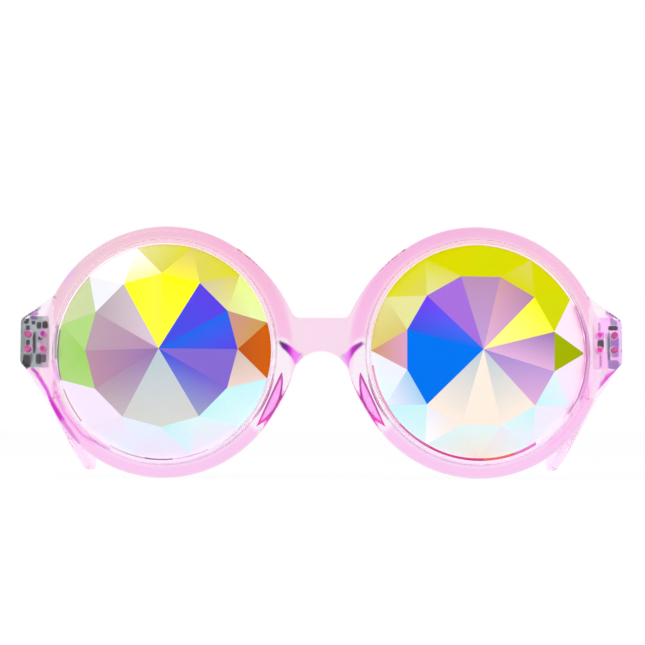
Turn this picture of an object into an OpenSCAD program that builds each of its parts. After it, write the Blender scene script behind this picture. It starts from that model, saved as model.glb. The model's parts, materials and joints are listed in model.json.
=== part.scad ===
// Kaleidoscope glasses: a pink translucent front with two faceted crystal lenses, bonded nose
// pads, and two folding temples on three-barrel metal hinges. Left and right are as the picture
// shows them from the front, so left is -X. The wearer looks towards -Y, and the temples run
// back along +Y. The part stands open on the bottoms of its rims and on its two temple tips.

/* [Lenses] */
// Distance between the two lenses across the nose
lens_gap = 22.8; // [21:0.1:28]
// Diameter of the lens that shows inside a rim
lens_open_d = 52.2; // [49.5:0.1:53]
// Thickness of a lens's clear round flange
flange_t = 2.0; // [1.6:0.1:2.3]
// How far the flange reaches under the rim's lip
flange_lip = 1.1; // [0.8:0.05:1.4]
// Chamfer on the two edges of the flange
flange_chamfer = 0.2; // [0.1:0.05:0.4]
// Number of facets round a lens
facet_count = 12; // [8:1:16]
// Clear width left between the rim and the crown
facet_margin = 0.25; // [0.1:0.05:1.5]
// Height above the flange of the corners where the crown's facets meet its round girdle
girdle_h = 0.6; // [0.55:0.05:1.5]
// Radius of the ring of corners where the crown's shoulder meets its top
shoulder_r = 18.4; // [14:0.1:21]
// Height of that shoulder above the flange
shoulder_h = 4.4; // [3:0.1:5.5]
// Height of the crown's point above the flange
crown_h = 8.0; // [6.5:0.1:10]

/* [Rims] */
// Width of a rim, seen from the front
rim_w = 4.2; // [4:0.05:5.2]
// How far a rim stands in front of the middle of its lens groove
rim_front = 2.6; // [2.2:0.05:3]
// How far a rim stands behind the middle of its lens groove
rim_back = 2.0; // [1.8:0.05:2.6]
// Radius on a rim's two outer edges
rim_edge_r = 1.5; // [0.8:0.05:1.8]
// Radius on a rim's two lips round the lens
lip_edge_r = 0.45; // [0.2:0.05:0.6]
// Angle by which each lens is turned outwards, round the face
wrap = 6.5; // [4:0.5:9]

/* [Bridge] */
// Height of the bridge's top edge above the lens centres
bridge_top = 7.8; // [5:0.1:10]
// Thickness of the bridge from front to back
bridge_t = 4.0; // [3:0.1:4.4]
// Height of the bridge from the arch to the top edge
bridge_h = 7.9; // [6:0.1:9]
// Radius in the two corners between the bridge's top edge and the rims
bridge_fillet_r = 2.0; // [1:0.1:3]
// Radius of the web that runs from the arch down into each rim
web_r = 42; // [36:1:50]
// Angle below level at which that web ends on the rim
web_angle = 40; // [34:1:46]
// Radius of the web that runs from the bridge's top edge up into each rim
top_web_r = 40; // [36:1:46]
// Angle above level at which that web ends on the rim
top_web_angle = 55; // [48:1:60]

/* [End pieces] */
// How far an end piece stands out past the outside of its rim
lug_reach = 4.8; // [4.2:0.1:6]
// How far the middle of the hinges lies above the lens centres
hinge_up = 2.8; // [1:0.1:4]
// Height of an end piece at its outer edge
lug_edge_h = 10.4; // [9:0.1:12]
// Angle at which an end piece's upper edge climbs into the rim
lug_top_angle = 36; // [25:1:45]
// Angle at which its lower edge drops into the rim
lug_low_angle = 48; // [35:1:55]
// Depth from the front face of an end piece to its back face
lug_t = 4.8; // [4.4:0.1:5.2]
// How far the back face of an end piece stands behind the rim
lug_step = 0.75; // [0.5:0.05:1.5]
// Radius on the corners of an end piece's outline
lug_corner_r = 1.4; // [0.6:0.1:2.2]

/* [Nose pads] */
// Length of a nose pad along the rim
pad_len = 15.4; // [13:0.1:16]
// Width of a nose pad at its middle
pad_w = 2.7; // [2:0.1:3]
// Height of a nose pad behind the rim
pad_h = 5.0; // [3:0.1:6]
// How far a nose pad's skin side slants away from the nose towards the face
pad_slant = 1.1; // [0:0.1:1.6]
// Angle below level of the middle of a nose pad
pad_angle = 24.5; // [20:0.5:28]
// Thickness of the glue between a nose pad and its rim
pad_bond = 0.03; // [0.02:0.01:0.08]

/* [Temples] */
// Length of a temple along its middle line
temple_len = 139; // [130:1:150]
// Thickness of a temple at the hinge
temple_t = 3.8; // [3.4:0.1:4.2]
// Thickness of a temple at its tip
tip_t = 3.2; // [2.6:0.1:3.6]
// Height of a temple at the hinge
temple_h = 11.4; // [10.4:0.1:12]
// Height of a temple at its narrowest
waist_h = 7.8; // [6.5:0.1:9]
// Where along a temple it is narrowest
waist_at = 78; // [60:1:84]
// Height of the round tip that hooks behind the ear
tip_h = 9.4; // [8:0.1:10.4]
// Angle at which a temple drops away from the hinge
droop = 5.5; // [3:0.5:8]
// Where along a temple its ear bend starts
ear_start = 86; // [80:1:95]
// Length of the ear bend
ear_len = 26; // [15:1:30]
// Angle of the ear bend
ear_bend = 9.5; // [6:0.5:14]
// Where along a temple it starts to curl in towards the head
curl_start = 82; // [80:1:100]
// Radius of that inward curl
curl_r = 340; // [300:10:600]
// Radius on a temple's long edges
temple_edge_r = 1.2; // [0.5:0.1:1.5]

/* [Hinges] */
// Radius of a hinge barrel
barrel_r = 1.35; // [1.2:0.05:1.5]
// Height of the hinge over its three barrels
barrel_stack = 9.0; // [7.5:0.1:9.4]
// Gap between two barrels
barrel_gap = 0.1; // [0.05:0.01:0.2]
// Radius of the hinge screw
screw_r = 0.6; // [0.5:0.05:0.7]
// Running clearance round the hinge screw
screw_clear = 0.06; // [0.03:0.01:0.1]
// Radius of the hinge screw's head
screw_head_r = 1.15; // [1:0.05:1.3]
// Height of the hinge screw's head
screw_head_h = 0.75; // [0.6:0.05:1]
// Width of the slot in the screw's head
screw_slot_w = 0.35; // [0.3:0.05:0.5]
// Thickness of the hinge leaves
leaf_t = 1.0; // [0.8:0.05:1.2]
// Height of the leaf that is let into an end piece
front_leaf_h = 12.4; // [11:0.1:13]
// Height of the leaf that is let into a temple
temple_leaf_h = 6.8; // [5.5:0.1:7.4]
// Length of the leaf that is let into a temple
temple_leaf_len = 12; // [10.6:0.1:14]
// Radius of the rivets
rivet_r = 0.75; // [0.6:0.05:0.85]
// Length of the rivets in the end piece, past the leaf
front_rivet_len = 2.5; // [2:0.1:2.8]
// Length of the rivets in the temple, past the leaf
temple_rivet_len = 2.0; // [1.4:0.1:2.1]
// Distance between two rivets, up the end piece
front_rivet_pitch = 3.6; // [3:0.1:4.4]
// Distance between two rivets, along the temple
temple_rivet_pitch = 4.2; // [3:0.1:4.6]

/* [Clearances] */
// Clearance round a leaf or a rivet that is let into plastic
seat_clear = 0.04; // [0.02:0.01:0.08]
// Clearance round a lens flange in its groove
groove_clear = 0.1; // [0.05:0.01:0.2]
// Gap between an end piece and the end of its open temple
stop_gap = 0.1; // [0.05:0.01:0.2]
// Gap between the barrels and the temple's inner face
swing_gap = 0.15; // [0.1:0.01:0.3]

/* [Hidden] */
$fn = 72;

// Colours, as the object shows them
frame_pink = [0.98, 0.78, 0.90, 0.75];
pad_pink = [0.93, 0.35, 0.85, 0.85];
lens_tint = [0.80, 0.72, 0.92, 0.8];
hinge_steel = [0.30, 0.32, 0.35];
rivet_pink = [0.80, 0.30, 0.55];

// A little more than any piece is thick, for cuts that pass right through
through = 20;
// Overlap that joins two bodies of one piece
weld = 0.3;
// How far the crown's lowest corners stay inside its round girdle
corner_inset = 0.1;

// Rims, measured from the lens axis
lens_r = lens_open_d / 2;
lens_pitch = lens_open_d + lens_gap;
rim_r = lens_r + rim_w;
flange_r = lens_r + flange_lip;
groove_r = flange_r + groove_clear;
rim_mid_r = (groove_r + rim_r) / 2;
flange_front = flange_t / 2;
girdle_r = lens_r - facet_margin;

// Where a rim's nasal side lies, which carries the bridge
bridge_y = -rim_mid_r * sin(wrap) + (rim_back - rim_front) / 2;

// End of a web on the left rim as seen from the front, at an angle above level, and the middle
// of the web's circle, which touches the rim there from inside
function web_end(angle) = [
    -lens_pitch / 2 + rim_r * cos(angle) * cos(wrap),
    rim_r * sin(angle)
];
function web_mid(r, angle) = web_end(angle) - r * [cos(angle), sin(angle)];

// Arch over the nose, whose circle touches the two lower webs from outside
arch_top = bridge_top - bridge_h;
low_web_mid = web_mid(web_r, -web_angle);
arch_r = (pow(norm(low_web_mid - [0, arch_top]), 2) - web_r * web_r)
    / (2 * (web_r - low_web_mid[1] + arch_top));
arch_mid = [0, arch_top - arch_r];
arch_foot = arch_mid + (low_web_mid - arch_mid) * arch_r / (arch_r + web_r);

// How far the nose pads keep from the outside of the rim
pad_edge = 0.15;

// End pieces
lug_x = lens_pitch / 2 + rim_r * cos(wrap) + lug_reach;
lug_root_x = lens_pitch / 2 + rim_mid_r * cos(wrap) - 1.5;
lug_back = rim_mid_r * sin(wrap) + rim_back * cos(wrap) + lug_step;
lug_front = lug_back - lug_t;

// Hinge axis, seen on the left side
axis_x = lug_x - temple_t - barrel_r - swing_gap;
axis_y = lug_back + stop_gap + barrel_r;
barrel_h = (barrel_stack - 2 * barrel_gap) / 3;
bore_r = screw_r + screw_clear;
rivet_head_r = rivet_r + 0.2;
rivet_head_h = 0.35;
leaf_edge = 0.5;
front_leaf_out = lug_x - axis_x - leaf_edge;
front_rivet_x = -front_leaf_out + rivet_head_r + 0.15;
leaf_groove_x = front_rivet_x / 2;
leaf_groove_w = 0.5;
leaf_groove_h = front_rivet_pitch + 1.2;
temple_leaf_start = 0.3;
temple_rivet_mid = temple_leaf_start + temple_leaf_len * 0.54;
arm_lap = 0.1;

// Middle line of a temple, measured along it from the end piece
bend_r = ear_len * 180 / (PI * ear_bend);
tip_r = tip_h / 2;
twist_len = 12;

function ring_point(r, a, z) = [r * cos(a), r * sin(a), z];
function clamp01(v) = min(1, max(0, v));
function ease(v) = (1 - cos(180 * clamp01(v))) / 2;
function mix(a, b, v) = a + (b - a) * v;
function slope(t) = droop + ear_bend * clamp01((t - ear_start) / ear_len);
function past_bend(t) = max(0, t - ear_start - ear_len);
function run_y(t) = min(t, ear_start) * cos(droop) + bend_r * (sin(slope(t)) - sin(droop))
    + past_bend(t) * cos(slope(t));
function run_z(t) = -min(t, ear_start) * sin(droop) + bend_r * (cos(slope(t)) - cos(droop))
    - past_bend(t) * sin(slope(t));
function curl_in(t) = pow(max(0, t - curl_start), 2) / (2 * curl_r);
function height_at(t) = t < waist_at ? mix(temple_h, waist_h, ease(t / waist_at))
    : mix(waist_h, tip_h, ease((t - waist_at) / (temple_len - tip_r - waist_at)));
function thick_at(t) = mix(temple_t, tip_t, ease((t - curl_start) / (temple_len - tip_r - curl_start)));

temple_y = lug_back + stop_gap;
tip_y = temple_y + run_y(temple_len - tip_r);
tip_z = hinge_up + run_z(temple_len - tip_r);

// Standing pose: the front leans back until the rims and the temple tips touch one plane
foot_y = (rim_back - rim_edge_r) * cos(wrap);
foot_z = -(rim_r - rim_edge_r);
stand_y = tip_y - foot_y;
stand_z = foot_z - tip_z;
lean = asin((rim_edge_r - tip_r) / norm([stand_y, stand_z])) - atan2(stand_z, stand_y);
lift = rim_edge_r + foot_y * sin(lean) - foot_z * cos(lean);
front_y = -(flange_front + crown_h) * cos(wrap) * cos(lean);
back_y = tip_y * cos(lean) + tip_z * sin(lean) + tip_r;

// Puts a piece drawn round the lens centres into its standing place
module standing() {
    translate([0, -(front_y + back_y) / 2, lift]) rotate([-lean, 0, 0]) children();
}

// A left piece as drawn, or its mirror image for the right
module on_side(right) {
    mirror([right ? 1 : 0, 0, 0]) children();
}

// Places what is drawn round a lens axis, with +Z towards the front
module at_lens() {
    translate([-lens_pitch / 2, 0, 0]) rotate([0, 0, -wrap]) rotate([90, 0, 0]) children();
}

// Places what is drawn round the left hinge axis: +X to the nose, +Y back, +Z up
module at_hinge() {
    translate([-axis_x, axis_y, hinge_up]) children();
}

// Section of a rim, grown by a margin on every side
module rim_section(grow = 0) {
    lo = lens_r - grow;
    hi = rim_r + grow;
    top = rim_front + grow;
    low = -rim_back - grow;
    ro = rim_edge_r + grow;
    ri = lip_edge_r + grow;
    polygon([
        [lo, low + ri], [lo, top - ri], [lo + ri, top], [hi - ro, top],
        [hi, top - ro], [hi, low + ro], [hi - ro, low], [lo + ri, low]
    ]);
    for (z = [top - ro, low + ro]) translate([hi - ro, z]) circle(ro);
    for (z = [top - ri, low + ri]) translate([lo + ri, z]) circle(ri);
}

module rim(grow = 0) {
    at_lens() rotate_extrude($fn = 180) rim_section(grow);
}

module lens_cylinder(r) {
    at_lens() translate([0, 0, -through / 2]) cylinder(r = r, h = through, $fn = 180);
}

module lens_groove() {
    at_lens() translate([0, 0, -flange_t / 2 - groove_clear])
        cylinder(r = groove_r, h = flange_t + 2 * groove_clear, $fn = 180);
}

// Upper half of the left end piece's outline, with its edge climbing to the rim at an angle
module lug_half(angle, inset) {
    r = max(0.3, lug_corner_r - inset);
    out = -lug_x + inset;
    edge = lug_edge_h / 2 - inset * (1 / cos(angle) - tan(angle));
    root = lug_edge_h / 2 + (lug_x - lug_root_x) * tan(angle) - inset / cos(angle);
    tangent = r * tan((90 - angle) / 2);
    polygon([
        [-lug_root_x, 0], [-lug_root_x, root],
        [out + tangent * cos(angle), edge + tangent * sin(angle)],
        [out + r, edge - tangent], [out, edge - tangent], [out, 0]
    ]);
    intersection() {
        translate([out + r, edge - tangent]) circle(r);
        translate([out, 0]) square([r * 2, edge]);
    }
}

// Outline of the left end piece, drawn in from its edges by a margin
module lug_outline(inset = 0) {
    translate([0, hinge_up]) {
        lug_half(lug_top_angle, inset);
        mirror([0, 1]) lug_half(lug_low_angle, inset);
    }
}

// Upright slab with its outline in X and Z, from y0 back to y1
module slab(y0, y1) {
    translate([0, y1, 0]) rotate([90, 0, 0]) linear_extrude(y1 - y0) children();
}

// Web that swells the left rim towards the bridge, and runs out on the rim at an angle above level
module web(r, angle) {
    end = web_end(angle);
    intersection() {
        translate(web_mid(r, angle)) circle(r, $fn = 240);
        translate([end[0], min(0, end[1])]) square([rim_r, abs(end[1])]);
    }
}

// Left corner between the bridge's top edge and the upper web, filled with a radius
module bridge_fillet() {
    mid = web_mid(top_web_r, top_web_angle);
    up = bridge_top + bridge_fillet_r;
    out = mid[0] + sqrt(pow(top_web_r + bridge_fillet_r, 2) - pow(up - mid[1], 2));
    difference() {
        polygon([[out, up], [out, bridge_top - weld], mid]);
        translate([out, up]) circle(bridge_fillet_r);
    }
}

module bridge_outline() {
    difference() {
        for (side = [0, 1]) mirror([side, 0]) {
            translate([-rim_mid_r / 2, arch_foot[1]]) square([rim_mid_r / 2 + weld, bridge_top - arch_foot[1]]);
            web(web_r, -web_angle);
            web(top_web_r, top_web_angle);
            bridge_fillet();
        }
        translate(arch_mid) circle(arch_r, $fn = 120);
    }
}

module bridge() {
    difference() {
        slab(bridge_y - bridge_t / 2, bridge_y + bridge_t / 2) bridge_outline();
        for (right = [false, true]) on_side(right) {
            lens_cylinder(rim_mid_r);
            at_lens() translate([-2 * rim_r, -2 * rim_r, rim_front]) cube([4 * rim_r, 4 * rim_r, through]);
        }
    }
}

// Plate of the front leaf, and the pocket for it when grown by a clearance
module front_leaf_plate(grow = 0) {
    intersection() {
        translate([-front_leaf_out - grow, lug_back - axis_y - leaf_t - grow, -front_leaf_h / 2 - grow])
            cube([front_leaf_out + barrel_r + 2 * grow, leaf_t + grow, front_leaf_h + 2 * grow]);
        translate([axis_x, -axis_y, -hinge_up])
            slab(0, lug_back + weld) lug_outline(leaf_edge - grow);
    }
}

// Rivet along -Y with its flush countersunk head at the origin, grown for its hole
module rivet(length, grow = 0) {
    rotate([90, 0, 0]) {
        cylinder(r = rivet_r + grow, h = leaf_t + length + grow, $fn = 32);
        cylinder(r1 = rivet_head_r + grow, r2 = rivet_r + grow, h = rivet_head_h, $fn = 32);
    }
}

module front_rivets(grow = 0) {
    for (s = [-1, 1])
        translate([front_rivet_x, lug_back - axis_y, s * front_rivet_pitch / 2])
            rivet(front_rivet_len, grow);
}

// Two spigots of the front leaf, in front of its barrels, at the height of the rivets
module front_spigots(grow = 0) {
    for (s = [-1, 1])
        translate([0, lug_back - axis_y - leaf_t / 2, s * front_rivet_pitch / 2])
            rotate([90, 0, 0]) cylinder(r = rivet_r + grow, h = leaf_t / 2 + front_rivet_len + grow, $fn = 32);
}

module temple_rivets(grow = 0) {
    for (s = [-1, 1])
        translate([-barrel_r - swing_gap, temple_rivet_mid + s * temple_rivet_pitch / 2, 0])
            rotate([0, 0, -90]) rivet(temple_rivet_len, grow);
}

// Round-ended plate of the temple leaf, and the pocket for it when grown
module temple_leaf_plate(grow = 0) {
    end_r = temple_leaf_h / 2 + grow;
    flat_len = temple_leaf_len - temple_leaf_h / 2;
    translate([-barrel_r - swing_gap - leaf_t - grow, temple_leaf_start, 0]) {
        translate([0, -grow, -end_r]) cube([leaf_t + grow, flat_len + grow, 2 * end_r]);
        translate([0, flat_len, 0]) rotate([0, 90, 0]) cylinder(r = end_r, h = leaf_t + grow, $fn = 48);
    }
}

// Arm of metal from the middle barrel to the temple leaf
module temple_leaf_arm(grow = 0) {
    translate([-barrel_r - swing_gap - leaf_t - grow, -arm_lap - grow, -barrel_h / 2 - grow])
        cube([barrel_r + swing_gap + leaf_t + grow, barrel_r + arm_lap + grow, barrel_h + 2 * grow]);
}

module hinge_bore() {
    translate([0, 0, -barrel_stack]) cylinder(r = bore_r, h = 2 * barrel_stack, $fn = 32);
}

// Section of a temple: a rounded rectangle, as a ring of points [across, up]
corner_steps = 3;
function section(half_t, half_h, r) = [
    for (q = [0:3], j = [0:corner_steps])
        let (a = 90 * q + 90 * j / corner_steps,
             sx = (q == 0 || q == 3) ? 1 : -1,
             sz = q < 2 ? 1 : -1)
        [sx * (half_t - r) + r * cos(a), sz * (half_h - r) + r * sin(a)]
];

// One ring of a temple's surface, at t along it, shrunk for the round tip
function temple_ring(t, up = 1, across = 1) =
    let (half_t = thick_at(min(t, temple_len - tip_r)) / 2 * across,
         half_h = height_at(min(t, temple_len - tip_r)) / 2 * up,
         r = min(temple_edge_r, half_t * 0.9, half_h * 0.9),
         tilt = slope(t) * clamp01(t / twist_len))
    [for (p = section(half_t, half_h, r)) [
        -lug_x + temple_t / 2 + curl_in(t) + p[0],
        temple_y + run_y(t) + p[1] * sin(tilt),
        hinge_up + run_z(t) + p[1] * cos(tilt)
    ]];

temple_stations = [
    0, 4, 8, twist_len, 20, 28, 36, 44, 52, 60, 68, 76, curl_start,
    for (k = [0:6]) ear_start + ear_len * k / 6,
    for (k = [1:3]) mix(ear_start + ear_len, temple_len - tip_r, k / 4)
];
tip_angles = [0, 15, 30, 45, 58, 69, 78, 85];

module temple_body() {
    rings = [
        for (t = temple_stations) temple_ring(t),
        for (a = tip_angles) temple_ring(temple_len - tip_r + tip_r * sin(a), cos(a), sqrt(cos(a)))
    ];
    n = len(rings[0]);
    last = len(rings) - 1;
    polyhedron(
        points = [for (ring = rings, p = ring) p],
        faces = [
            [for (i = [0:n - 1]) i],
            [for (i = [n - 1:-1:0]) last * n + i],
            for (k = [0:last - 1], i = [0:n - 1])
                let (a = k * n + i, b = k * n + (i + 1) % n)
                each [[a, a + n, b], [b, a + n, b + n]]
        ],
        convexity = 4
    );
}

// Faceted crown: one point, a shoulder ring, and girdle facets that the round girdle cuts into
// scallops. The rings of corners, from the flange up: two past the girdle, one just inside it,
// and the shoulder.
module crown() {
    n = facet_count;
    turn = 360 / n;
    corner_r = girdle_r - corner_inset;
    past_r = girdle_r + 1;
    fall = (shoulder_h - girdle_h) / (corner_r * cos(turn / 2) - shoulder_r) * cos(turn / 2);
    past_h = girdle_h - fall * (past_r - corner_r);
    point = 4 * n;
    intersection() {
        cylinder(r = girdle_r, h = flange_front + crown_h, $fn = 180);
        polyhedron(
            points = [
                for (k = [0:n - 1]) ring_point(past_r, (k + 0.5) * turn, 0),
                for (k = [0:n - 1]) ring_point(past_r, (k + 0.5) * turn, flange_front + past_h),
                for (k = [0:n - 1]) ring_point(corner_r, (k + 0.5) * turn, flange_front + girdle_h),
                for (k = [0:n - 1]) ring_point(shoulder_r, k * turn, flange_front + shoulder_h),
                [0, 0, flange_front + crown_h]
            ],
            faces = [
                [for (k = [0:n - 1]) k],
                for (k = [0:n - 1])
                    let (m = (k + 1) % n)
                    each [
                        [k, n + k, n + m], [k, n + m, m],
                        [n + k, 2 * n + k, 2 * n + m], [n + k, 2 * n + m, n + m],
                        [2 * n + k, 3 * n + m, 2 * n + m], [3 * n + k, 3 * n + m, 2 * n + k],
                        [3 * n + k, point, 3 * n + m]
                    ]
            ]
        );
    }
}

// Round flange that the rim's groove holds
module flange() {
    edge = flange_r - flange_chamfer;
    side = flange_front - flange_chamfer;
    rotate_extrude($fn = 180) polygon([
        [0, -flange_front], [edge, -flange_front], [flange_r, -side],
        [flange_r, side], [edge, flange_front], [0, flange_front]
    ]);
}

module front_frame() {
    color(frame_pink) standing() difference() {
        union() {
            bridge();
            for (right = [false, true]) on_side(right) {
                rim();
                difference() {
                    slab(lug_front, lug_back) lug_outline();
                    lens_cylinder(rim_mid_r);
                }
            }
        }
        for (right = [false, true]) on_side(right) {
            lens_groove();
            at_hinge() {
                front_leaf_plate(seat_clear);
                front_rivets(seat_clear);
                front_spigots(seat_clear);
            }
        }
    }
}

// A crystal lens; the right one is turned by half a facet against the left one
module lens(right) {
    color(lens_tint) standing() on_side(right) at_lens() {
        flange();
        rotate([0, 0, right ? 180 / facet_count : 0]) crown();
    }
}

// Spindle-shaped pad on the nasal side of a rim, domed and slanted for the nose
module nose_pad(right) {
    half = pad_len / 2;
    chord_r = (rim_mid_r + rim_r) / 2 * cos(half / rim_mid_r * 57.3 * 0.5);
    bow_r = (half * half + pad_w * pad_w) / (2 * pad_w);
    dome_r = (half * half + pad_h * pad_h) / (2 * pad_h);
    color(pad_pink) standing() on_side(right) difference() {
        at_lens() rotate([0, 0, -pad_angle]) intersection() {
            translate([rim_r - pad_edge - bow_r, 0, -rim_back - pad_h])
                cylinder(r1 = bow_r - pad_slant, r2 = bow_r, h = pad_h + rim_edge_r, $fn = 120);
            translate([rim_r - pad_edge - pad_w, -pad_len, -rim_back - pad_h])
                cube([pad_w, 2 * pad_len, pad_h + rim_edge_r]);
            translate([rim_r - pad_edge - pad_w / 2, 0, -rim_back - pad_h + dome_r]) sphere(r = dome_r, $fn = 96);
        }
        rim(pad_bond);
    }
}

module front_hinge_leaf(right) {
    color(hinge_steel) standing() on_side(right) at_hinge() difference() {
        union() {
            front_leaf_plate();
            front_spigots();
            for (s = [-1, 1]) translate([0, 0, s * (barrel_h + barrel_gap)]) {
                translate([0, 0, -barrel_h / 2]) cylinder(r = barrel_r, h = barrel_h, $fn = 48);
                translate([-barrel_r, lug_back - axis_y - leaf_t / 2, -barrel_h / 2])
                    cube([2 * barrel_r, axis_y - lug_back + leaf_t / 2, barrel_h]);
            }
        }
        hinge_bore();
        front_rivets(seat_clear);
        translate([leaf_groove_x, lug_back - axis_y - leaf_t, 0])
            cube([leaf_groove_w, leaf_t, leaf_groove_h], center = true);
    }
}

module front_hinge_rivets(right) {
    color(rivet_pink) standing() on_side(right) at_hinge() front_rivets();
}

module hinge_screw(right) {
    color(hinge_steel) standing() on_side(right) at_hinge() {
        translate([0, 0, -barrel_stack / 2]) cylinder(r = screw_r, h = barrel_stack + 2 * barrel_gap, $fn = 32);
        translate([0, 0, barrel_stack / 2 + barrel_gap]) difference() {
            cylinder(r = screw_head_r, h = screw_head_h, $fn = 40);
            translate([-through / 2, -screw_slot_w / 2, screw_head_h / 2])
                cube([through, screw_slot_w, screw_head_h]);
        }
    }
}

module temple(right) {
    color(frame_pink) standing() on_side(right) difference() {
        temple_body();
        at_hinge() {
            temple_leaf_plate(seat_clear);
            temple_leaf_arm(seat_clear);
            temple_rivets(seat_clear);
        }
    }
}

module temple_hinge_leaf(right) {
    color(hinge_steel) standing() on_side(right) at_hinge() difference() {
        union() {
            temple_leaf_plate();
            temple_leaf_arm();
            translate([0, 0, -barrel_h / 2]) cylinder(r = barrel_r, h = barrel_h, $fn = 48);
        }
        hinge_bore();
        temple_rivets(seat_clear);
    }
}

module temple_hinge_rivets(right) {
    color(hinge_steel) standing() on_side(right) at_hinge() temple_rivets();
}

front_frame();
lens(false);  // lens_left
lens(true);  // lens_right
nose_pad(false);  // nose_pad_left
nose_pad(true);  // nose_pad_right
front_hinge_leaf(false);  // front_hinge_leaf_left
front_hinge_leaf(true);  // front_hinge_leaf_right
front_hinge_rivets(false);  // front_hinge_rivets_left
front_hinge_rivets(true);  // front_hinge_rivets_right
hinge_screw(false);  // hinge_screw_left
hinge_screw(true);  // hinge_screw_right
temple(false);  // temple_left
temple(true);  // temple_right
temple_hinge_leaf(false);  // temple_hinge_leaf_left
temple_hinge_leaf(true);  // temple_hinge_leaf_right
temple_hinge_rivets(false);  // temple_hinge_rivets_left
temple_hinge_rivets(true);  // temple_hinge_rivets_right
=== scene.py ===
import json
from math import asin, atan2, cos, degrees, hypot, pi, radians, sin, sqrt, tan

import bmesh
import bpy
import numpy as np
from mathutils import Matrix, Vector
from mathutils.geometry import convex_hull_2d


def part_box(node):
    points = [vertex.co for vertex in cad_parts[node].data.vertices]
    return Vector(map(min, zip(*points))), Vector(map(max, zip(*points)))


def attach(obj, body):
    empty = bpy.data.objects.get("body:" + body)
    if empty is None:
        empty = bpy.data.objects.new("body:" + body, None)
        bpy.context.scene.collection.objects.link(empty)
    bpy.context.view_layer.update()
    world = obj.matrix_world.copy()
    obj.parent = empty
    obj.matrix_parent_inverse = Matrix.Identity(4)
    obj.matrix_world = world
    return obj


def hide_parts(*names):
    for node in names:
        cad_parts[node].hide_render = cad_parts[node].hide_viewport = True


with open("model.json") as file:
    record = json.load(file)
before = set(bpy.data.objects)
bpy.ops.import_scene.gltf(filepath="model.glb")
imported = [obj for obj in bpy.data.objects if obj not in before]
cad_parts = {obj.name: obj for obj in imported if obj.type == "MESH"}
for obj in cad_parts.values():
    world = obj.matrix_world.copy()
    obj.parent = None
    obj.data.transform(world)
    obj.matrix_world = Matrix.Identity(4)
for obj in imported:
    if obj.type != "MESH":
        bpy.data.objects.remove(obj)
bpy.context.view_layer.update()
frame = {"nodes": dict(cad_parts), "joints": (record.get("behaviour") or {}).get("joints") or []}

# Kaleidoscope glasses. Lengths are in metres. Most shapes are drawn round the lens centres, in
# the front's own frame: X to the right as seen from the front, Y back to the ears, Z up. The
# matrix STAND then leans the front back into its standing pose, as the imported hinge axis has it.

MM = 0.001
# Distance under which two corners of a mesh are one
MERGE = 0.001 * MM
SIDES = {"left": -1, "right": 1}

# Lenses
LENS_R = 26.1 * MM
LENS_X = 37.5 * MM
FLANGE_R = 27.2 * MM
FLANGE_FRONT = 1.0 * MM
GROOVE_R = 27.3 * MM
GROOVE_HALF = 1.1 * MM
FACETS = 12
GIRDLE_R = 25.85 * MM
SHOULDER_R = 18.4 * MM
SHOULDER_H = 4.4 * MM
CROWN_H = 8.0 * MM
GIRDLE_TOP = 1.6 * MM
WRAP = radians(6.5)

# Rims, bridge and end pieces
RIM_R = 30.3 * MM
RIM_MID_R = 28.8 * MM
RIM_FRONT = 2.6 * MM
RIM_BACK = 2.0 * MM
RIM_EDGE_R = 1.5 * MM
LIP_EDGE_R = 0.45 * MM
LIP_R = 27.0 * MM
BRIDGE_TOP = 7.8 * MM
BRIDGE_H = 7.9 * MM
BRIDGE_T = 4.0 * MM
BRIDGE_Y = -3.56 * MM
BRIDGE_FILLET = 2.0 * MM
LOW_WEB_R = 42 * MM
LOW_WEB_ANGLE = radians(-40)
TOP_WEB_R = 40 * MM
TOP_WEB_ANGLE = radians(55)
LUG_X = 72.405 * MM
LUG_ROOT_X = 64.6 * MM
LUG_EDGE_H = 10.4 * MM
LUG_TOP_ANGLE = radians(36)
LUG_LOW_ANGLE = radians(48)
LUG_BACK = 5.997 * MM
LUG_T = 4.8 * MM
LUG_CORNER_R = 1.4 * MM

# Hinges, from the axis
HINGE_X = 67.105 * MM
HINGE_Y = 7.447 * MM
HINGE_UP = 2.8 * MM
BARREL_R = 1.35 * MM
SWING_GAP = 0.15 * MM
SEAT_CLEAR = 0.04 * MM
LEAF_T = 1.0 * MM
FRONT_LEAF_H = 12.4 * MM
FRONT_LEAF_OUT = 4.8 * MM
TEMPLE_LEAF_H = 6.8 * MM
TEMPLE_LEAF_LEN = 12 * MM
TEMPLE_LEAF_START = 0.3 * MM
RIVET_PITCH = 3.6 * MM

# Temples, measured along their middle line
TEMPLE_LEN = 139 * MM
TEMPLE_Y = 6.097 * MM
TEMPLE_T = 3.8 * MM
TIP_T = 3.2 * MM
TEMPLE_H = 11.4 * MM
WAIST_H = 7.8 * MM
WAIST_AT = 78 * MM
TIP_H = 9.4 * MM
TIP_R = TIP_H / 2
DROOP = radians(5.5)
EAR_START = 86 * MM
EAR_LEN = 26 * MM
EAR_BEND = radians(9.5)
CURL_START = 82 * MM
CURL_R = 340 * MM
TEMPLE_EDGE_R = 1.2 * MM
# Most of a section's half size that the rounding of its edges takes
EDGE_SHARE = 0.9
TWIST_LEN = 12 * MM

# How much deeper a clear plastic's tint is written than it shows
GLASS_POWER = 1.25
WHITE = (1, 1, 1, 1)

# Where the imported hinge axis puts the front
HINGE_JOINT = next(j for j in frame["joints"] if j["name"] == "right_temple_fold")
HINGE_AXIS = Vector(HINGE_JOINT["axis"])
LEAN = atan2(HINGE_AXIS.y, HINGE_AXIS.z)
STAND = (
    Matrix.Translation(HINGE_JOINT["pos_m"])
    @ Matrix.Rotation(-LEAN, 4, "X")
    @ Matrix.Translation((-HINGE_X, -HINGE_Y, -HINGE_UP))
)


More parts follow.
